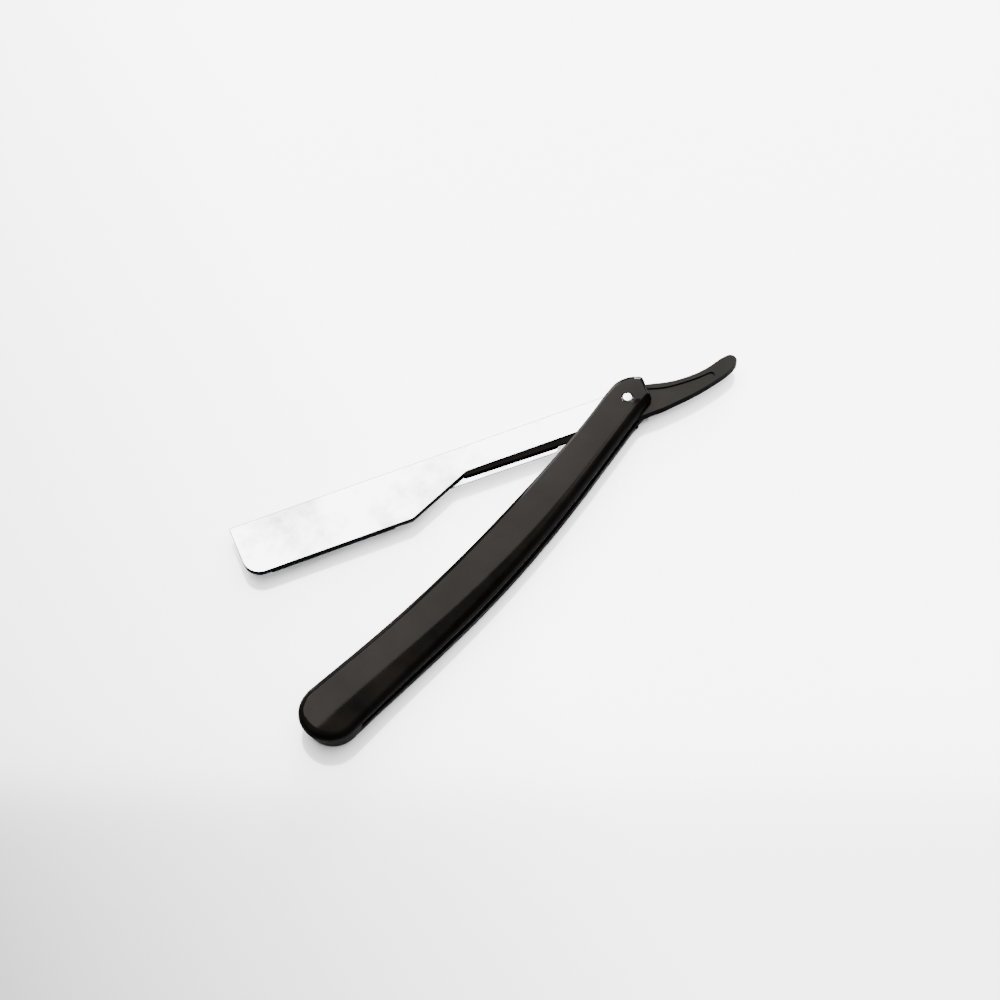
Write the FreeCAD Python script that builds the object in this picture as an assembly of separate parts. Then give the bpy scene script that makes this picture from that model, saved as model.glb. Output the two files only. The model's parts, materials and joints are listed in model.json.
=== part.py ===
import FreeCAD, Part
import math
import os

# Folding straight razor with a clip-in half blade, shown half open, lying on its back scale.
# Working frame: origin on the pivot axis, +X along the handle from the closed end to the pivot,
# +Y towards the side the blade folds in from, +Z up, underside of the handle at z = 0.
# All lengths in millimetres, all angles in degrees.

# handle
PIVOT_TO_CLOSED_END = 131.0   # pivot to the centre of the round closed end
CLOSED_END_R = 8.8
BACK_SCALE = 3.1              # thickness of the lower scale
SLOT = 3.1                    # space between the scales
FRONT_SCALE = 4.1             # thickness of the upper scale
TOP_ROUND = 0.9               # rounding of the upper rim
LIP = 0.25                    # small bevel on the lower rim of the upper scale
FOOT_BEVEL = 1.0              # bevel around the underside
CLOSED_END_TAPER = 1.05       # how far the foot draws in towards the closed end
PARTING_TAPER = 0.5           # the same at the parting line of the scales
TAPER_START = -80.0
SLOT_END_R = 127.5            # the slot stops on this radius about the pivot
PIVOT_END_R = 9.2             # large radius of the pivot end
PIVOT_END_Y = 6.0             # its highest point
PEG_D = 2.4
PEG_H = 2.0
PEG_Y = 4.2
FIT = 0.02                    # close fit between pieces that are assembled once
RUN = 0.05                    # running clearance

# pivot
SHANK_D = 2.4
HEAD_D = 3.4
HEAD_SINK = 0.5
HEAD_RISE = 0.7
HEAD_FACETS = 10
TAIL_HEAD_D = 3.6
TAIL_HEAD_H = 0.6
WASHER_D = 6.6
WASHER_T = 0.2

# blade group, drawn with +X towards the tail, -X towards the head and +Y towards the spine
REST_ANGLE = 27.76           # angle between the blade and the handle as shown
HUB_R = 5.0
TANG_T = 2.6
PANEL_DEPTH = 0.5
SHEET = 0.45                  # sheet metal of the holder
GAP = 1.0                     # space between its two leaves
SPINE = 5.9                   # distances from the line through the pivot
NECK_EDGE = 2.6
FLANGE_EDGE = 5.9
HEAD_EDGE = 11.3
LEAF_START = 3.0              # distances along the blade from the pivot
FLANGE_START = 24.6
NECK_END = 51.8
HEEL = 71.9
HEAD_END = 121.7
HEAD_CORNER_R = 5.0
PIN_D = 1.5
PIN_HEAD_D = 2.0
PIN_HEAD_T = 0.2
PIN_SPOTS = [(7.6, 1.5), (10.9, 1.5)]

# half blade and its carrier
BLADE_L = 43.0
BLADE_W = 11.0
BLADE_T = 0.1
BLADE_EDGE_L = 37.6
GROUND = 0.7                  # width of the ground cutting bevel
BLADE_START = 74.7
CARRIER_START = 58.5
CARRIER_LIP = 0.35            # how far the carrier shows past the leaf
EDGE_SHOWS = 0.25             # how far the edge stands out of the carrier
STUD_D = 2.6
NOTCH_D = 3.0

# the working origin is moved to the middle of the underside before export
ORIGIN = FreeCAD.Vector(-65.5, -3.7, 0)

V = FreeCAD.Vector
Z_SLOT = BACK_SCALE
Z_FRONT = BACK_SCALE + SLOT
Z_TOP = Z_FRONT + FRONT_SCALE
Z_MID = Z_SLOT + SLOT / 2
Z_FULL = Z_FRONT + 1.5        # the outline has its full size from here up


def arc(start, middle, end):
    return Part.Arc(start, middle, end).toShape()


def spline(points, first, last):
    """Smooth curve through the points with given end directions."""
    curve = Part.BSplineCurve()
    curve.interpolate(Points=points, InitialTangent=first, FinalTangent=last)
    return curve.toShape()


def polar(centre, radius, degrees):
    turn = math.radians(degrees)
    return centre + V(math.cos(turn), math.sin(turn), 0) * radius


def circle_part(centre, radius, start, end):
    """Arc about a centre between two angles."""
    return arc(polar(centre, radius, start), polar(centre, radius, (start + end) / 2),
               polar(centre, radius, end))


def rounded_outline(corners, z):
    """Closed face from corner points (x, y, radius), every corner rounded tangentially."""
    edges = []
    last = None
    first = None
    for i, (x, y, radius) in enumerate(corners):
        here = V(x, y, z)
        x0, y0, _ = corners[i - 1]
        x1, y1, _ = corners[(i + 1) % len(corners)]
        before = (V(x0, y0, z) - here).normalize()
        after = (V(x1, y1, z) - here).normalize()
        half = before.getAngle(after) / 2
        start = here + before * (radius / math.tan(half))
        end = here + after * (radius / math.tan(half))
        if last is not None:
            edges.append(Part.makeLine(last, start))
        if radius > 0:
            bisector = (before + after).normalize()
            middle = here + bisector * (radius / math.sin(half) - radius)
            edges.append(arc(start, middle, end))
        first = first or start
        last = end
    edges.append(Part.makeLine(last, first))
    return Part.Face(Part.Wire(edges))


def scale_outline(z, inset, taper):
    """Outline of a scale at height z: round closed end, bowed sides, blunt pivot end."""
    closed = V(-PIVOT_TO_CLOSED_END + taper, 0, z)
    closed_r = CLOSED_END_R - inset - taper
    upper_centre = V(0.8, PIVOT_END_Y - PIVOT_END_R, z)
    nose_r = 1.2
    nose_centre = polar(upper_centre, PIVOT_END_R - nose_r, 34.7)
    heel_r = 2.0
    down = V(-0.395, -0.919, 0)
    heel_centre = nose_centre + V(0.919, -0.395, 0) * (nose_r - heel_r) + down * 5.0
    nose = polar(nose_centre, nose_r - inset, -23.3)
    heel = polar(heel_centre, heel_r - inset, -23.3)
    heel_end = polar(heel_centre, heel_r - inset, -86.3)

    def side(x, y):
        run = max(0.0, (TAPER_START - x) / (PIVOT_TO_CLOSED_END + TAPER_START))
        pull = inset + taper * run
        return V(x, y - math.copysign(pull, y), z)

    blade_side = [polar(closed, closed_r, 83.6)]
    blade_side += [side(-113.4, 6.75), side(-98.8, 5.25), side(-68.9, 3.5),
                   side(-45.1, 3.35), side(-21.3, 4.1), side(-7.5, 5.27)]
    blade_side += [polar(upper_centre, PIVOT_END_R - inset, 90)]
    slot_side = [heel_end]
    slot_side += [side(-3.5, -5.6), side(-20.4, -7.5), side(-45.4, -9.85), side(-69.0, -10.8),
                  side(-92.0, -10.45), side(-115.4, -9.35)]
    slot_side += [polar(closed, closed_r, 268)]
    return Part.Wire([
        spline(blade_side, V(0.994, -0.111, 0), V(1, 0, 0)),
        circle_part(upper_centre, PIVOT_END_R - inset, 90, 34.7),
        circle_part(nose_centre, nose_r - inset, 34.7, -23.3),
        Part.makeLine(nose, heel),
        circle_part(heel_centre, heel_r - inset, -23.3, -86.3),
        spline(slot_side, V(-0.998, -0.064, 0), V(-1, 0.035, 0)),
        circle_part(closed, closed_r, 268, 83.6),
    ])


def peg_spots():
    x = -PIVOT_TO_CLOSED_END - 0.8
    return [V(x, PEG_Y, 0), V(x, -PEG_Y, 0)]


def front_scale():
    """Upper scale: a plain plate with a soft upper rim and a sunk seat for the rivet head."""
    low = Part.makeLoft([scale_outline(Z_FRONT, 0, PARTING_TAPER),
                         scale_outline(Z_FULL, 0, 0)], True, True)
    body = Part.Face(scale_outline(Z_FULL, 0, 0)).extrude(V(0, 0, Z_TOP - Z_FULL))
    body = body.fuse(low)
    rim = [e for e in body.Edges if e.BoundBox.ZMin > Z_TOP - 0.01]
    body = body.makeFillet(TOP_ROUND, rim)
    lip = [e for e in body.Edges if e.BoundBox.ZMax < Z_FRONT + 0.01]
    body = body.makeChamfer(LIP, lip)
    body = body.cut(Part.makeCylinder(SHANK_D / 2 + FIT, FRONT_SCALE, V(0, 0, Z_FRONT)))
    body = body.cut(Part.makeCylinder(HEAD_D / 2 + 0.1, 2, V(0, 0, Z_TOP - HEAD_SINK)))
    for spot in peg_spots():
        spot.z = Z_FRONT
        body = body.cut(Part.makeCylinder(PEG_D / 2 + FIT, PEG_H + 0.3, spot))
    return body


def gate_nub(spot, outward):
    """Small cut-off stub left on the edge of the moulding."""
    stub = Part.makeBox(1.5, 0.7, 0.8, V(-0.75, -0.35, 0))
    stub.rotate(V(0, 0, 0), V(0, 0, 1), outward)
    stub.translate(spot)
    return stub


def back_scale():
    """Lower scale: bevelled underside, drawn in towards the closed end, raised closed-end pad."""
    foot = Part.makeLoft([scale_outline(0, FOOT_BEVEL, CLOSED_END_TAPER),
                          scale_outline(FOOT_BEVEL, 0, CLOSED_END_TAPER)], True, True)
    wall = Part.makeLoft([scale_outline(FOOT_BEVEL, 0, CLOSED_END_TAPER),
                          scale_outline(Z_FRONT, 0, PARTING_TAPER)], True, True)
    body = foot.fuse(wall)
    body = body.cut(Part.makeCylinder(SLOT_END_R, SLOT + 1, V(0, 0, Z_SLOT)))
    for spot in peg_spots():
        spot.z = Z_FRONT - 0.5
        body = body.fuse(Part.makeCylinder(PEG_D / 2, PEG_H + 0.5, spot))
    body = body.fuse(gate_nub(V(-135.5, 6.3, 2.3), 130))
    body = body.fuse(gate_nub(V(-1.8, -5.1, 1.2), 262))
    body = body.cut(Part.makeCylinder(SHANK_D / 2 + FIT, BACK_SCALE))
    body = body.cut(Part.makeCylinder(TAIL_HEAD_D / 2 + 0.3, TAIL_HEAD_H + 0.2))
    return body.removeSplitter()


def regular_face(count, radius, z):
    return Part.makePolygon([polar(V(0, 0, z), radius, 360 * i / count)
                             for i in range(count + 1)])


def pivot_rivet():
    """Pivot rivet: cut-facet head in the upper seat, plain shank, peened end below."""
    seat = Z_TOP - HEAD_SINK
    foot = TAIL_HEAD_H + 0.2
    shank = Part.makeCylinder(SHANK_D / 2, seat - foot, V(0, 0, foot))
    collar = Part.makeCylinder(HEAD_D / 2, HEAD_RISE * 0.3, V(0, 0, seat))
    facets = Part.makeLoft([regular_face(HEAD_FACETS, HEAD_D / 2, seat + HEAD_RISE * 0.3),
                            regular_face(HEAD_FACETS, HEAD_D * 0.38, seat + HEAD_RISE)], True, True)
    peened = Part.makeCone(TAIL_HEAD_D / 2 - 0.4, TAIL_HEAD_D / 2, TAIL_HEAD_H, V(0, 0, 0.2))
    return shank.multiFuse([collar, facets, peened]).removeSplitter()


def washer(z):
    ring = Part.makeCylinder(WASHER_D / 2, WASHER_T, V(0, 0, z))
    return ring.cut(Part.makeCylinder(SHANK_D / 2 + FIT, WASHER_T, V(0, 0, z)))


def front_washer():
    return washer(Z_FRONT - WASHER_T)


def back_washer():
    return washer(Z_SLOT)


def blade_point(along, off, z=0.0):
    """Point of the blade group: distance from the pivot to the head, distance past the spine line."""
    return V(-along, -off, z)


def blade_face(corners, z):
    return rounded_outline([(-along, -off, radius) for along, off, radius in corners], z)


def slope_cross(along=None, off=None, proud=0.0):
    """Other coordinate of a point on the sloping shoulder, moved outwards by proud."""
    run = HEEL - NECK_END
    rise = HEAD_EDGE - NECK_EDGE
    length = math.hypot(run, rise)
    start = NECK_END - proud * rise / length
    base = NECK_EDGE + proud * run / length
    if off is None:
        return base + (along - start) * rise / run
    return start + (off - base) * run / rise


def set_open(shape):
    """Turn a piece of the blade group to the angle shown."""
    shape.rotate(V(0, 0, 0), V(0, 0, 1), -REST_ANGLE)
    return shape


def tail_outline(z):
    """Waisted tail with a hooked, rounded tip, closed by the round hub."""
    upper = [V(0, HUB_R, z), V(8.45, 4.3, z), V(14.6, 2.75, z), V(19.1, 2.27, z),
             V(23.7, 2.35, z), V(28.8, 3.25, z), V(34.5, 4.58, z)]
    lower = [V(36.1, 1.3, z), V(33.7, -0.25, z), V(28.9, -1.85, z), V(23.6, -3.1, z),
             V(18.6, -3.95, z), V(11.0, -4.75, z), V(0, -HUB_R, z)]
    return Part.Wire([
        spline(upper, V(1, -0.05, 0), V(1, 0.1, 0)),
        arc(upper[-1], V(36.6, 3.0, z), lower[0]),
        spline(lower, V(-0.7, -0.72, 0), V(-1, -0.01, 0)),
        circle_part(V(0, 0, z), HUB_R, 270, 90),
    ])


def tail_panel(z):
    """Sunk panel that follows the waist and leaves a rim along the edge."""
    upper = [V(7.0, 3.4, z), V(12.9, 1.5, z), V(18.5, 0.95, z), V(23.0, 0.85, z), V(27.1, 1.15, z)]
    lower = [V(27.3, -0.9, z), V(24.2, -1.7, z), V(17.5, -2.9, z), V(7.0, -4.0, z)]
    return Part.Wire([
        spline(upper, V(1, -0.38, 0), V(1, 0.08, 0)),
        arc(upper[-1], V(28.3, 0.15, z), lower[0]),
        spline(lower, V(-1, -0.24, 0), V(-1, -0.06, 0)),
        Part.makeLine(lower[-1], upper[0]),
    ])


def tang():
    """Moulded tang: hub on the pivot, tail with sunk panels, thin tongue between the leaves."""
    low = Z_MID - TANG_T / 2
    body = Part.Face(tail_outline(low)).extrude(V(0, 0, TANG_T))
    for z in (low, low + TANG_T - PANEL_DEPTH):
        body = body.cut(Part.Face(tail_panel(z)).extrude(V(0, 0, PANEL_DEPTH)))
    tongue_z = Z_MID - GAP / 2 + FIT
    back = -SPINE + SHEET + GAP / 2 + 0.3
    tongue = blade_face([(0, back, 0), (0, 4.6, 0), (14, 4.7, 0), (52.5, 3.8, 1.0),
                         (54.5, 1.5, 1.0), (54.5, back, 1.0)], tongue_z)
    body = body.fuse(tongue.extrude(V(0, 0, GAP - 2 * FIT)))
    body = body.cut(Part.makeCylinder(SHANK_D / 2 + RUN, 20))
    for along, off in PIN_SPOTS:
        body = body.cut(Part.makeCylinder(PIN_D / 2 + FIT, 20, blade_point(along, off)))
    return set_open(body.removeSplitter())


def leaf(z, far):
    """One leaf of the holder: neck, sloping shoulder and head with a rounded toe."""
    fold = -SPINE + SHEET + GAP / 2
    neck = [(LEAF_START, fold, 0), (LEAF_START, NECK_EDGE, 0.8)]
    if far:
        drop = FLANGE_EDGE - 0.4
        neck += [(FLANGE_START - 2, NECK_EDGE, 1.0), (FLANGE_START, FLANGE_EDGE, 1.0),
                 (slope_cross(off=drop), drop, 2.0)]
    else:
        neck += [(NECK_END, NECK_EDGE, 2.0)]
    head = [(HEEL, HEAD_EDGE, 1.6), (HEAD_END, HEAD_EDGE, HEAD_CORNER_R), (HEAD_END, fold, 0)]
    plate = blade_face(neck + head, z).extrude(V(0, 0, SHEET))
    return plate.cut(Part.makeCylinder(HUB_R + 0.3, 20))


def blade_holder():
    """Folded sheet holder: near leaf, far leaf and the round fold along the spine."""
    low = Z_MID - GAP / 2 - SHEET
    outer = GAP / 2 + SHEET
    length = HEAD_END - LEAF_START
    start = blade_point(HEAD_END, -SPINE + outer, Z_MID)
    tube = Part.makeCylinder(outer, length, start, V(1, 0, 0))
    tube = tube.cut(Part.makeCylinder(GAP / 2, length, start, V(1, 0, 0)))
    half_space = Part.makeBox(length, outer, 2 * outer, start + V(0, 0, -outer))
    fold = tube.common(half_space)
    body = fold.multiFuse([leaf(low, True), leaf(low + SHEET + GAP, False)])
    for along, off in PIN_SPOTS:
        body = body.cut(Part.makeCylinder(PIN_D / 2 + FIT, 20, blade_point(along, off)))
    return set_open(body.removeSplitter())


def holder_pin(along, off):
    """Headed pin that ties the leaves to the tongue."""
    low = Z_MID - GAP / 2 - SHEET
    height = GAP + 2 * SHEET
    pin = Part.makeCylinder(PIN_D / 2, height, blade_point(along, off, low))
    for z in (low - PIN_HEAD_T, low + height):
        pin = pin.fuse(Part.makeCylinder(PIN_HEAD_D / 2, PIN_HEAD_T, blade_point(along, off, z)))
    return set_open(pin.removeSplitter())


def notch_places():
    """Two places along the blade where its back notches meet the studs of the carrier."""
    middle = BLADE_START + BLADE_L / 2
    return [middle - 11, middle + 11]


def razor_blade():
    """Half of a double-edge blade: end tabs, back notches and a ground edge."""
    z = Z_MID - GAP / 2 + FIT
    back = HEAD_EDGE + CARRIER_LIP + EDGE_SHOWS - BLADE_W
    step = (BLADE_L - BLADE_EDGE_L) / 2
    profile = [(0, 0), (BLADE_W - GROUND, 0), (BLADE_W, BLADE_T / 2),
               (BLADE_W - GROUND, BLADE_T), (0, BLADE_T), (0, 0)]
    section = Part.makePolygon([blade_point(BLADE_START, back + off, z + up) for off, up in profile])
    body = Part.Face(section).extrude(V(-BLADE_L, 0, 0))
    for start in (BLADE_START - 1, BLADE_START + BLADE_L - step):
        corner = blade_face([(start, back + 5.9, 0), (start, back + 12, 0),
                             (start + step + 1, back + 12, 0),
                             (start + step + 1, back + 5.9, 0)], z - 0.5)
        body = body.cut(corner.extrude(V(0, 0, 1)))
    for along in notch_places():
        body = body.cut(Part.makeCylinder(NOTCH_D / 2, 1, blade_point(along, back, z - 0.5)))
    return set_open(body)


def blade_carrier():
    """Thin moulded carrier that slides between the leaves and carries the half blade."""
    z = Z_MID - GAP / 2 + FIT
    fold = -SPINE + SHEET + GAP / 2 + 0.4
    edge = HEAD_EDGE + CARRIER_LIP
    body = blade_face([(CARRIER_START, fold, 1.0),
                       (CARRIER_START, slope_cross(along=CARRIER_START, proud=CARRIER_LIP), 0.5),
                       (slope_cross(off=edge, proud=CARRIER_LIP), edge, 1.6),
                       (HEAD_END, edge, HEAD_CORNER_R), (HEAD_END, fold, 1.0)], z)
    body = body.extrude(V(0, 0, GAP - 2 * FIT))
    back = edge + EDGE_SHOWS - BLADE_W - FIT
    left = BLADE_START - FIT
    right = BLADE_START + BLADE_L + FIT
    pocket = blade_face([(left, back, 0), (left, edge + 1, 0), (right, edge + 1, 0),
                         (right, back, 0)], z)
    body = body.cut(pocket.extrude(V(0, 0, BLADE_T + FIT)))
    for along in notch_places():
        stud = Part.makeCylinder(STUD_D / 2, BLADE_T + 2 * FIT, blade_point(along, back + FIT, z))
        body = body.fuse(stud)
    return set_open(body.removeSplitter())


def pieces():
    built = {
        "front_scale": front_scale(),
        "back_scale": back_scale(),
        "pivot_rivet": pivot_rivet(),
        "front_washer": front_washer(),
        "back_washer": back_washer(),
        "tang": tang(),
        "blade_holder": blade_holder(),
        "blade_carrier": blade_carrier(),
        "razor_blade": razor_blade(),
    }
    for number, (along, off) in enumerate(PIN_SPOTS, 1):
        built["holder_pin_%d" % number] = holder_pin(along, off)
    return built


os.makedirs("parts", exist_ok=True)
for name, shape in pieces().items():
    shape.translate(-ORIGIN)
    solid = shape.Solids[0]
    solid.exportStep("parts/%s.step" % name)
    print(name, len(shape.Solids), shape.isValid(), round(solid.Volume, 2))
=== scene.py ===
import json
import math
import bmesh
import bpy
import numpy as np
from mathutils import Matrix, Vector

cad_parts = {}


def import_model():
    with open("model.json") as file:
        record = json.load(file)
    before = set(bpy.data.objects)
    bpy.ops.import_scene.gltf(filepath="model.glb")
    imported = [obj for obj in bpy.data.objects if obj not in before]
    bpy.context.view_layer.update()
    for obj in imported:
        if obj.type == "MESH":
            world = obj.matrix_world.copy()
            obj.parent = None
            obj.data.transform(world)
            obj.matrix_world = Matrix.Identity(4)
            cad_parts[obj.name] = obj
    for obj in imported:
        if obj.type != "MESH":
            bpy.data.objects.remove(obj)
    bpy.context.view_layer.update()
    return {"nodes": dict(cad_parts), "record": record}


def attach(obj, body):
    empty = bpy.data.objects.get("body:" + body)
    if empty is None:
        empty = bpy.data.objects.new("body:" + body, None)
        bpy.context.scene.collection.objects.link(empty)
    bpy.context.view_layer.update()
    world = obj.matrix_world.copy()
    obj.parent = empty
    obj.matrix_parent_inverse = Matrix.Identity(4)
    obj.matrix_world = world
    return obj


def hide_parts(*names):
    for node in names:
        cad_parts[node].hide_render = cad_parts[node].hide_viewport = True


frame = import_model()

MM = 0.001
HINGE = frame["record"]["behaviour"]["joints"][0]["pos_m"]
PIVOT = Vector((HINGE[0], HINGE[1], 0.0))


# ---------------------------------------------------------------- materials
def new_material(name):
    mat = bpy.data.materials.new(name)
    mat.use_nodes = True
    nodes = mat.node_tree.nodes
    nodes.clear()
    out = nodes.new("ShaderNodeOutputMaterial")
    bsdf = nodes.new("ShaderNodeBsdfPrincipled")
    mat.node_tree.links.new(bsdf.outputs[0], out.inputs[0])
    return mat, nodes, mat.node_tree.links, bsdf


def noise(nodes, links, coords, scale, detail=4.0, rough=0.55, stretch=(1, 1, 1)):
    mapping = nodes.new("ShaderNodeMapping")
    mapping.inputs["Scale"].default_value = stretch
    links.new(coords, mapping.inputs["Vector"])
    tex = nodes.new("ShaderNodeTexNoise")
    tex.inputs["Scale"].default_value = scale
    tex.inputs["Detail"].default_value = detail
    tex.inputs["Roughness"].default_value = rough
    links.new(mapping.outputs[0], tex.inputs["Vector"])
    return tex.outputs["Fac"]


def ramp(nodes, links, fac, low, high, a=0.0, b=1.0):
    node = nodes.new("ShaderNodeMapRange")
    node.inputs["From Min"].default_value = a
    node.inputs["From Max"].default_value = b
    node.inputs["To Min"].default_value = low
    node.inputs["To Max"].default_value = high
    links.new(fac, node.inputs["Value"])
    return node.outputs[0]


def colour_mix(nodes, links, fac, one, two):
    node = nodes.new("ShaderNodeMix")
    node.data_type = "RGBA"
    node.inputs["A"].default_value = (*one, 1)
    node.inputs["B"].default_value = (*two, 1)
    links.new(fac, node.inputs["Factor"])
    return node.outputs["Result"]


def bump(nodes, links, height, strength, distance, normal=None):
    node = nodes.new("ShaderNodeBump")
    node.inputs["Strength"].default_value = strength
    node.inputs["Distance"].default_value = distance
    links.new(height, node.inputs["Height"])
    if normal:
        links.new(normal, node.inputs["Normal"])
    return node.outputs[0]


def plastic(name, base, rough, grain, ior=1.155):
    """Moulded black plastic: faint flow mottling, fine grain and uneven polish."""
    mat, nodes, links, bsdf = new_material(name)
    coords = nodes.new("ShaderNodeTexCoord").outputs["Object"]
    mottle = ramp(nodes, links, noise(nodes, links, coords, 55.0, 5.0, 0.6), 0, 1, 0.36, 0.66)
    fine = noise(nodes, links, coords, 2600.0, 2.0, 0.5)
    lighter = tuple(c * 3.2 for c in base)
    links.new(colour_mix(nodes, links, mottle, base, lighter), bsdf.inputs["Base Color"])
    links.new(ramp(nodes, links, mottle, rough * 0.8, rough * 1.25), bsdf.inputs["Roughness"])
    links.new(bump(nodes, links, fine, grain, 0.00004), bsdf.inputs["Normal"])
    bsdf.inputs["IOR"].default_value = ior
    bsdf.inputs["Specular Tint"].default_value = (1.0, 0.93, 0.88, 1)
    return mat


def metal(name, base, rough, smudge, wave):
    """Polished metal with cloudy smudges, hairlines and a slight waviness."""
    mat, nodes, links, bsdf = new_material(name)
    coords = nodes.new("ShaderNodeTexCoord").outputs["Object"]
    cloud = noise(nodes, links, coords, 45.0, 6.0, 0.65)
    hair = noise(nodes, links, coords, 900.0, 3.0, 0.6, (0.06, 1.0, 1.0))
    darker = tuple(c * 0.26 for c in base)
    links.new(colour_mix(nodes, links, ramp(nodes, links, cloud, 0, 1, 0.47, 0.74), base, darker),
              bsdf.inputs["Base Color"])
    links.new(ramp(nodes, links, cloud, rough, rough + smudge, 0.4, 0.8), bsdf.inputs["Roughness"])
    low = noise(nodes, links, coords, 30.0, 2.0, 0.5)
    first = bump(nodes, links, low, wave, 0.0005)
    links.new(bump(nodes, links, hair, 0.05, 0.00003, first), bsdf.inputs["Normal"])
    bsdf.inputs["Metallic"].default_value = 1.0
    return mat


MATS = {
    "scale": plastic("scale_black", (0.0007, 0.0006, 0.0005), 0.05, 0.06),
    "tang": plastic("tang_black", (0.0009, 0.0008, 0.00065), 0.17, 0.2),
    "carrier": plastic("carrier_black", (0.0006, 0.0006, 0.0006), 0.5, 0.3, 1.05),
    "holder": metal("holder_chrome", (0.86, 0.865, 0.87), 0.07, 0.10, 0.05),
    "blade": metal("blade_steel", (0.78, 0.79, 0.80), 0.18, 0.12, 0.02),
    "rivet": metal("rivet_bright", (0.85, 0.85, 0.85), 0.20, 0.2, 0.9),
    "washer": metal("washer_brass", (0.75, 0.6, 0.32), 0.3, 0.1, 0.0),
}
# Painted shade: near-black materials for steep faces and cut edges. They stand in for the shade and the
# dark surroundings that such faces mirror in a room (painted reflection), so under other light these
# faces look darker than real plastic or steel.
MATTE_PAINTED_SHADE = plastic("matte_painted_shade_black", (0.0008, 0.0007, 0.0006), 0.45, 0.4, 1.06)
SHADE = plastic("shaded_black", (0.0005, 0.00045, 0.0004), 0.4, 0.4, 1.03)
EDGE_PAINTED_SHADE = metal("edge_steel_painted_shade", (0.006, 0.015, 0.015), 0.4, 0.1, 0.0)
SLOTS = {s["node"]: s["material_slot"] for s in frame["record"]["subparts"]}
BODY_OF = {node: body for body, nodes in frame["record"]["behaviour"]["bodies"].items()
           for node in nodes}
for node, obj in frame["nodes"].items():
    obj.data.materials.clear()
    obj.data.materials.append(MATS[SLOTS[node]])


# ---------------------------------------------------------------- pieces
def add_piece(name, mesh, node):
    """Puts a finished mesh in the scene in place of a CAD node."""
    obj = bpy.data.objects.new(name, mesh)
    bpy.context.scene.collection.objects.link(obj)
    mesh.materials.clear()
    mesh.materials.append(MATS[SLOTS[node]])
    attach(obj, BODY_OF[node])
    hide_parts(node)
    return obj


def smooth_by_angle(mesh, degrees):
    """Smooth shading with hard edges only where faces meet at more than the angle."""
    bm = bmesh.new()
    bm.from_mesh(mesh)
    limit = math.radians(degrees)
    for face in bm.faces:
        face.smooth = True
    for edge in bm.edges:
        edge.smooth = len(edge.link_faces) == 2 and edge.calc_face_angle(0) < limit
    bm.to_mesh(mesh)
    bm.free()


def other_material(obj, mat, chosen):
    """Gives the chosen faces (centre, normal) of a piece another material."""
    obj.data.materials.append(mat)
    for face in obj.data.polygons:
        if chosen(face.center, face.normal):
            face.material_index = len(obj.data.materials) - 1


TALL_WALL = 1.2


def wall_height(edge):
    """Height of the taller face beside an edge."""
    return max(max(v.co.z for v in f.verts) - min(v.co.z for v in f.verts) for f in edge.link_faces)


def softened(node, width, segments=2, angle=35, outer=None):
    """Copy of a CAD node's surface with its hard edges slightly rounded, as moulded or polished.
    outer: another width for the edges of upright walls above a height."""
    source = frame["nodes"][node]
    bm = bmesh.new()
    bm.from_mesh(source.data)
    bmesh.ops.transform(bm, matrix=source.matrix_world, verts=bm.verts)
    bmesh.ops.remove_doubles(bm, verts=bm.verts, dist=0.002 * MM)
    bmesh.ops.dissolve_limit(bm, angle_limit=math.radians(0.4), verts=bm.verts, edges=bm.edges)
    limit = math.radians(angle)
    sharp = [e for e in bm.edges if len(e.link_faces) == 2 and e.calc_face_angle(0) > limit]
    groups = [(sharp, width)]
    if outer:
        outer_width, above = outer
        walls = [e for e in sharp if wall_height(e) > TALL_WALL * MM and
                 max(v.co.z for v in e.verts) > above * MM]
        groups = [(walls, outer_width), ([e for e in sharp if e not in walls], width)]
    for edges, size in groups:
        edges = [e for e in edges if e.is_valid]
        bmesh.ops.bevel(bm, geom=edges, offset=size * MM, offset_type="OFFSET",
                        segments=segments, profile=0.5, affect="EDGES", clamp_overlap=True)
    mesh = bpy.data.meshes.new(node + "_surface")
    bm.to_mesh(mesh)
    bm.free()
    smooth_by_angle(mesh, 50)
    obj = add_piece(node + "_surface", mesh, node)
    even = obj.modifiers.new("even_normals", "WEIGHTED_NORMAL")
    even.keep_sharp = True
    even.weight = 100
    return obj


def curve_y(points, first, last):
    """Smooth curve y(x) through points with given end slopes (natural order of x)."""
    xs = np.array([p[0] for p in points], float)
    ys = np.array([p[1] for p in points], float)
    n = len(xs)
    h = np.diff(xs)
    matrix = np.zeros((n, n))
    right = np.zeros(n)
    matrix[0, 0] = matrix[-1, -1] = 1
    right[0], right[-1] = first, last
    for i in range(1, n - 1):
        matrix[i, i - 1] = h[i]
        matrix[i, i] = 2 * (h[i - 1] + h[i])
        matrix[i, i + 1] = h[i - 1]
        right[i] = 3 * (h[i] * (ys[i] - ys[i - 1]) / h[i - 1] + h[i - 1] * (ys[i + 1] - ys[i]) / h[i])
    slope = np.linalg.solve(matrix, right)

    def at(x):
        i = int(np.clip(np.searchsorted(xs, x) - 1, 0, n - 2))
        t = (x - xs[i]) / h[i]
        return ((2 * t**3 - 3 * t**2 + 1) * ys[i] + (t**3 - 2 * t**2 + t) * h[i] * slope[i]
                + (3 * t**2 - 2 * t**3) * ys[i + 1] + (t**3 - t**2) * h[i] * slope[i + 1])
    return at


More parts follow.
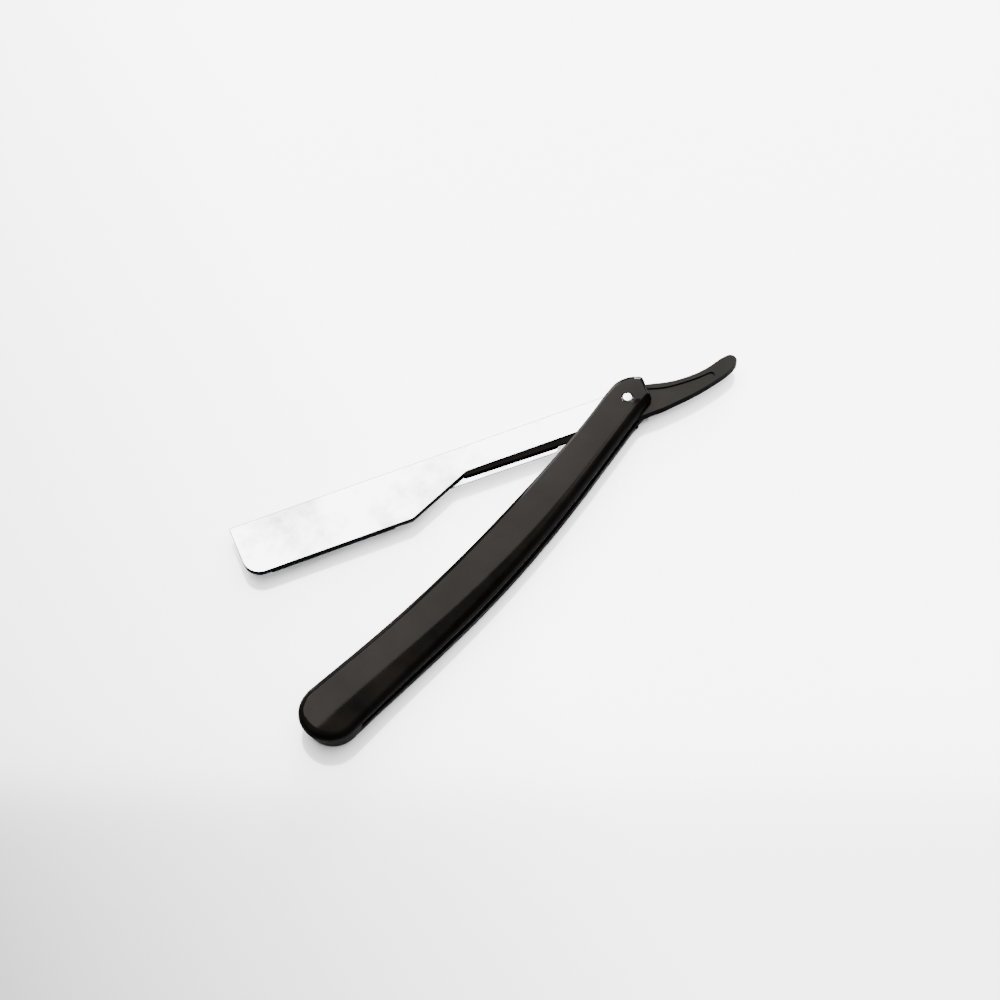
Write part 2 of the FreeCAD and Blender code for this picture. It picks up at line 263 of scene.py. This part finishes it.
# Outline of the handle, millimetres from the pivot, the closed end towards -x, the blade's side +y
CLOSED = (-131.0, 0.0)                # centre of the round closed end
CLOSED_R = 8.8
APEX = (0.8, 6.0)                     # highest point of the pivot end
APEX_R = 9.2
NOSE_START = 34.7                     # degrees at which the apex arc meets the nose
NOSE_R = 1.2
HEEL_R = 2.0
FLAT_LENGTH = 5.0                     # the flat between nose and heel
FLAT_TURN = -23.3                     # degrees it faces
FLAT_OUT = (0.919, -0.395)
HEEL_END = -86.3                      # degrees at which the heel meets the slot side
SLOT_END_X = -130.6                   # where the long sides meet the closed end
BLADE_SIDE = curve_y([(-130.02, 8.745), (-113.4, 6.75), (-98.8, 5.25), (-68.9, 3.5), (-45.1, 3.35),
                      (-21.3, 4.1), (-7.5, 5.27), APEX], -0.112, 0.0)
SLOT_SIDE = curve_y([(-131.31, -8.795), (-115.4, -9.35), (-92.0, -10.45), (-69.0, -10.8),
                     (-45.4, -9.85), (-20.4, -7.5), (-3.5, -5.6), (4.84, -4.89)], -0.035, 0.064)


def polar(centre, radius, degrees):
    turn = math.radians(degrees)
    return (centre[0] + radius * math.cos(turn), centre[1] + radius * math.sin(turn))


def sweep(centre, radius, start, end, count):
    """Points along an arc, its last one left out."""
    return [polar(centre, radius, start + (end - start) * i / count) for i in range(count)]


def scale_loop(inset):
    """Outline of a scale drawn in by inset, middle-line point behind each point, and two weights:
    broad (1 where the rim is broadly rounded) and nose (1 around the blunt nose)."""
    stations = list(np.linspace(SLOT_END_X, APEX[0], 120))
    upper_c = (APEX[0], APEX[1] - APEX_R)
    nose_c = polar(upper_c, APEX_R - NOSE_R, NOSE_START)
    out_x, out_y = FLAT_OUT
    heel_c = (nose_c[0] - out_x * (HEEL_R - NOSE_R) + out_y * FLAT_LENGTH,
              nose_c[1] - out_y * (HEEL_R - NOSE_R) - out_x * FLAT_LENGTH)
    nose_r = max(NOSE_R - inset, 0.1)
    rows = []

    def add(points, broad, nose, middle=None):
        for i, point in enumerate(points):
            t = i / max(len(points) - 1, 1)
            back = middle or (point[0], (BLADE_SIDE(point[0]) + SLOT_SIDE(point[0])) / 2)
            rows.append((*point, *back, broad[0] + (broad[1] - broad[0]) * t,
                         nose[0] + (nose[1] - nose[0]) * t))
    near_end = (stations[-1], (BLADE_SIDE(stations[-1]) + SLOT_SIDE(stations[-1])) / 2)
    far_end = (stations[0], (BLADE_SIDE(stations[0]) + SLOT_SIDE(stations[0])) / 2)
    add([(x, BLADE_SIDE(x) - inset) for x in stations], (0, 0), (0, 0))
    add(sweep(upper_c, APEX_R - inset, 90, NOSE_START, 22)[1:], (0, 0), (0, 1), near_end)
    add(sweep(nose_c, nose_r, NOSE_START, FLAT_TURN, 10), (0, 0), (1, 1), near_end)
    first = polar(nose_c, nose_r, FLAT_TURN)
    heel = polar(heel_c, HEEL_R - inset, FLAT_TURN)
    add([(first[0] + (heel[0] - first[0]) * t, first[1] + (heel[1] - first[1]) * t)
         for t in (0.0, 0.2, 0.4, 0.6, 0.8)], (0, 1), (1, 0), near_end)
    add(sweep(heel_c, HEEL_R - inset, FLAT_TURN, HEEL_END, 10), (1, 1), (0, 0), near_end)
    add([(x, SLOT_SIDE(x) + inset) for x in np.linspace(heel_c[0] + 0.128, stations[-1], 7)[:-1]],
        (1, 1), (0, 0), near_end)
    add([(x, SLOT_SIDE(x) + inset) for x in reversed(stations)], (1, 1), (0, 0))
    add(sweep(CLOSED, CLOSED_R - inset, 267, 84, 44)[1:], (1, 0.25), (0, 0), far_end)
    return np.array(rows)


Z_FOOT = 6.2                          # parting face of the upper scale
Z_FULL = 7.7                          # its outline has the full size from here up
PARTING_TAPER = 0.5                   # how far the foot draws in at the closed end
TAPER_START = -80.0
SHIFT_START = -118.0
WALL_TOP = 6.8                        # lowest ring of the rim
LIP = 0.25
RIM_Z = 9.96
CROWN = 0.34                          # rise of the middle of the top face over its rim
CRISP_W, CRISP_FALL = 0.95, 0.27      # bevel of the blade side at the pivot end
FAT_W, FAT_FALL = 0.85, 0.95          # what it gains towards the closed end
NOSE_W, NOSE_FALL = 1.1, 0.46
ROUND_W, ROUND_FALL = 2.3, 3.06       # broad round of the slot side


def scale_shell(name, rings, taper):
    """Closed shell from rings (z, inset, shrink); z and inset may vary with the place."""
    rows = scale_loop(0.0)
    base, middle = rows[:, :2], rows[:, 2:4]
    normal = base - scale_loop(1.0)[:, :2]
    run = np.clip((TAPER_START - base[:, 0]) / (TAPER_START - CLOSED[0]), 0, 1)
    shift = np.clip((SHIFT_START - base[:, 0]) / (SHIFT_START - CLOSED[0]), 0, 1)
    count = len(rows)
    verts, faces = [], []
    for z, inset, shrink in rings(rows):
        z, inset = np.broadcast_to(z, count), np.broadcast_to(inset, count)
        drawn = taper * np.clip((Z_FULL - z) / (Z_FULL - Z_FOOT), 0, 1)
        points = base - normal * (inset + drawn * run)[:, None]
        points[:, 0] += drawn * shift
        points = middle + (points - middle) * shrink
        verts += [(p[0] * MM + PIVOT.x, p[1] * MM + PIVOT.y, h * MM) for p, h in zip(points, z)]
    for r in range(len(verts) // count - 1):
        for i in range(count):
            j = (i + 1) % count
            a, b = r * count, (r + 1) * count
            faces.append((a + i, a + j, b + j, b + i))
    mesh = bpy.data.meshes.new(name)
    mesh.from_pydata(verts, [], faces)
    bm = bmesh.new()
    bm.from_mesh(mesh)
    bmesh.ops.remove_doubles(bm, verts=bm.verts, dist=0.002 * MM)
    bmesh.ops.dissolve_degenerate(bm, edges=bm.edges, dist=0.0005 * MM)
    bmesh.ops.recalc_face_normals(bm, faces=bm.faces)
    bm.to_mesh(mesh)
    bm.free()
    return mesh


def front_rings(rows):
    """Rim of the upper scale: a crisp bevel on the blade side, a broad round on the other."""
    x, broad, nose = rows[:, 0], rows[:, 4], rows[:, 5]
    across = np.where(x < CLOSED[0], np.abs(rows[:, 1] - rows[:, 3]) / CLOSED_R, 1.0).clip(0, 1)
    rim = RIM_Z + CROWN * (1 - across ** 2)
    broad = broad * broad * (3 - 2 * broad)
    fat = np.clip((-35.0 - x) / 60.0, 0, 1)
    wide = (CRISP_W + FAT_W * fat) * (1 - nose) + NOSE_W * nose
    fall = (CRISP_FALL + FAT_FALL * fat) * (1 - nose) + NOSE_FALL * nose
    crisp = [(rim, wide), (rim - fall * 0.07, wide * 0.92), (rim - fall * 0.36, wide * 0.63),
             (rim - fall * 0.68, wide * 0.32), (rim - fall, 0.10), (rim - fall - 0.12, 0.02),
             (rim - fall - 0.35, 0.0), (WALL_TOP, 0.0)]
    soft = 1.0 - 0.2 * np.clip(x / 2.0, 0, 1)
    round_ = [(rim, ROUND_W * soft), (rim - 0.03, 1.95 * soft), (rim - 0.13, 1.6 * soft),
              (rim - 0.4, 1.22 * soft), (rim - 0.95, 0.8 * soft), (rim - 1.9, 0.38 * soft),
              (rim - ROUND_FALL, 0.03), (WALL_TOP, 0.0)]
    rings = []
    for k in (0.0, 0.14, 0.28, 0.42, 0.56, 0.68, 0.78, 0.86, 0.92, 0.96, 0.985):
        rings.append((RIM_Z + CROWN * (1 - (k * across) ** 2),
                      wide * (1 - broad) + ROUND_W * soft * broad, k))
    for (z0, i0), (z1, i1) in zip(crisp, round_):
        rings.append((z0 * (1 - broad) + z1 * broad, i0 * (1 - broad) + i1 * broad, 1.0))
    rings += [(Z_FOOT + 0.25, 0.0, 1.0), (Z_FOOT + 0.08, 0.1, 1.0)]
    rings += [(Z_FOOT, LIP, k) for k in (1.0, 0.96, 0.5, 0.0)]
    return rings


SHANK_HOLE_R = 1.22
SEAT_R, SEAT_Z = 1.8, 9.8             # shallow seat of the rivet head
ABOVE_ALL, BELOW_FOOT = 11.0, 6.0


def front_scale():
    """Upper scale: thin lip below, upright wall, shaped rim and a slightly crowned top face."""
    mesh = scale_shell("front_scale_shell", front_rings, PARTING_TAPER)
    obj = add_piece("front_scale_shell", mesh, "front_scale")
    drill(obj, SHANK_HOLE_R, BELOW_FOOT, ABOVE_ALL)
    drill(obj, SEAT_R, SEAT_Z, ABOVE_ALL)
    smooth_by_angle(obj.data, 40)


def drill(obj, radius, low, high):
    """Cuts a round hole on the pivot axis out of a piece."""
    bm = bmesh.new()
    place = Matrix.Translation(PIVOT + Vector((0, 0, (low + high) / 2)) * MM)
    bmesh.ops.create_cone(bm, cap_ends=True, segments=64, radius1=radius * MM, radius2=radius * MM,
                          depth=(high - low) * MM, matrix=place)
    mesh = bpy.data.meshes.new("drill")
    bm.to_mesh(mesh)
    bm.free()
    tool = bpy.data.objects.new("drill", mesh)
    bpy.context.scene.collection.objects.link(tool)
    cut = obj.modifiers.new("cut", "BOOLEAN")
    cut.operation = "DIFFERENCE"
    cut.object = tool
    cut.solver = "EXACT"
    cut.use_self = True
    bpy.context.view_layer.update()
    graph = bpy.context.evaluated_depsgraph_get()
    result = bpy.data.meshes.new_from_object(obj.evaluated_get(graph))
    obj.modifiers.clear()
    old = obj.data
    obj.data = result
    bpy.data.meshes.remove(old)
    bpy.data.objects.remove(tool)
    bpy.data.meshes.remove(mesh)


REST_ANGLE = 27.76                    # between the blade and the handle


def blade_side(point):
    """Distance (mm) of a point towards the spine from the line of the blade through the pivot."""
    turn = math.radians(REST_ANGLE)
    x, y = point.x - PIVOT.x, point.y - PIVOT.y
    return (math.sin(turn) * x + math.cos(turn) * y) / MM


# Upright walls of the scales; they get the matte near-black, a painted shade and painted dark
# reflection.
def upright(_, normal):
    return abs(normal.z) < 0.42


# Sloping rim faces of the upper scale; they get the shaded near-black, a painted dark reflection.
def rolled_rim(_, normal):
    return 0.3 < normal.z < 0.72


def slot_side_wall(_, normal):
    """Walls and edges of the tang that face the slot side of the handle; they get the shaded
    near-black, painted shade on that one side.
    """
    return abs(normal.z) < 0.97 and normal.y < 0.3


# Faces of the tang's tongue between the holder's leaves; they get the matte near-black, painted shade
# between the parts.
def tongue_face(centre, normal):
    return 4.1 * MM < centre.z < 5.2 * MM and abs(normal.z) > 0.5


def cut_edge(centre, normal):
    """Edges of the holder's sheet, the rounded spine left out; they get the near-black edge steel, a
    painted dark reflection.
    """
    return abs(normal.z) < 0.9 and blade_side(centre) < 4.8


front_scale()
softened("back_scale", 0.15, 2, 30)
tang = softened("tang", 0.24, 3, 35, outer=(0.45, 5.9))
holder = softened("blade_holder", 0.06, 2, 40)
softened("blade_carrier", 0.08, 2, 40)
softened("pivot_rivet", 0.12, 2, 20)
softened("holder_pin_1", 0.05)
softened("holder_pin_2", 0.05)
# Painted shade: near-black materials go on the scales' upright walls, the upper scale's sloping rim,
# the tang's slot-side walls and tongue, and the holder's sheet edges.
for piece in ("front_scale_shell", "back_scale_surface"):
    other_material(bpy.data.objects[piece], MATTE_PAINTED_SHADE, upright)
other_material(bpy.data.objects["front_scale_shell"], SHADE, rolled_rim)
other_material(tang, SHADE, slot_side_wall)
other_material(tang, MATTE_PAINTED_SHADE, tongue_face)
other_material(holder, EDGE_PAINTED_SHADE, cut_edge)


# ---------------------------------------------------------------- floor, lights and camera
def floor():
    mesh = bpy.data.meshes.new("floor")
    half = 3.0
    mesh.from_pydata([(-half, -half, 0), (half, -half, 0), (half, half, 0), (-half, half, 0)], [],
                     [(0, 1, 2, 3)])
    obj = bpy.data.objects.new("floor", mesh)
    bpy.context.scene.collection.objects.link(obj)
    mat, nodes, links, bsdf = new_material("floor_gloss_white_painted_shade")
    coords = nodes.new("ShaderNodeTexCoord").outputs["Object"]
    mapping = nodes.new("ShaderNodeMapping")
    mapping.vector_type = "POINT"
    mapping.inputs["Rotation"].default_value = (0, 0, math.radians(25))
    links.new(coords, mapping.inputs["Vector"])
    split = nodes.new("ShaderNodeSeparateXYZ")
    links.new(mapping.outputs[0], split.inputs[0])
    # Painted shade: the floor's colour darkens from white to grey towards -x of the turned frame,
    # standing in for light falling off there.
    fac = ramp(nodes, links, split.outputs["X"], 0, 1, -0.17, 0.0)
    links.new(colour_mix(nodes, links, fac, (0.25, 0.25, 0.255), (0.90, 0.90, 0.90)),
              bsdf.inputs["Base Color"])
    bsdf.inputs["Roughness"].default_value = 0.10
    bsdf.inputs["IOR"].default_value = 3.0
    mesh.materials.append(mat)
    obj.location.z = -0.00002


RIGHT = Vector((0.6399, -0.7685, 0.0))
AWAY = Vector((0.7685, 0.6399, 0.0))       # horizontal direction the camera looks along
UP = Vector((0, 0, 1))
TILT = math.radians(30)
AIM = PIVOT + Vector((-45.85, 10.20, 0.0)) * MM
DISTANCE = 0.8052


def look(obj, position, target):
    back = (position - target).normalized()
    right = UP.cross(back).normalized()
    up = back.cross(right)
    rot = Matrix((right, up, back)).transposed()
    obj.matrix_world = Matrix.Translation(position) @ rot.to_4x4()


def camera():
    data = bpy.data.cameras.new("camera")
    data.lens = 100.0
    data.sensor_width = 36.0
    data.clip_start = 0.01
    obj = bpy.data.objects.new("camera", data)
    bpy.context.scene.collection.objects.link(obj)
    back = (UP * math.cos(TILT) - AWAY * math.sin(TILT)).normalized()
    look(obj, AIM + back * DISTANCE, AIM)
    bpy.context.scene.camera = obj


def world():
    scene_world = bpy.data.worlds.new("studio")
    scene_world.use_nodes = True
    bg = scene_world.node_tree.nodes["Background"]
    bg.inputs[0].default_value = (0.95, 0.97, 1.0, 1)
    bg.inputs[1].default_value = 0.12
    bpy.context.scene.world = scene_world


def soft_box(name, azimuth, elevation, distance, width, height, radiance):
    """Rectangular soft box facing the object; azimuth 0 is straight behind it as the camera sees it."""
    data = bpy.data.lights.new(name, "AREA")
    data.shape = "RECTANGLE"
    data.size = width
    data.size_y = height
    data.energy = radiance * math.pi * width * height
    obj = bpy.data.objects.new(name, data)
    bpy.context.scene.collection.objects.link(obj)
    a, e = math.radians(azimuth), math.radians(elevation)
    direction = (AWAY * math.cos(a) + RIGHT * math.sin(a)) * math.cos(e) + UP * math.sin(e)
    place = AIM + direction * distance
    look(obj, place, AIM)
    return obj


floor()
camera()
world()
soft_box("back_box", 0, 54.2, 1.6, 3.6, 0.83, 9.0)
soft_box("upper_box", 0, 76, 1.6, 3.6, 0.42, 0.6)
soft_box("low_strip", -12, 32, 1.6, 1.5, 0.26, 22.0)
soft_box("nose_light", 12, 17, 1.6, 0.5, 0.24, 150.0)
fill = soft_box("overhead_fill", 0, 80, 1.5, 2.2, 2.2, 11.5)
fill.visible_glossy = False
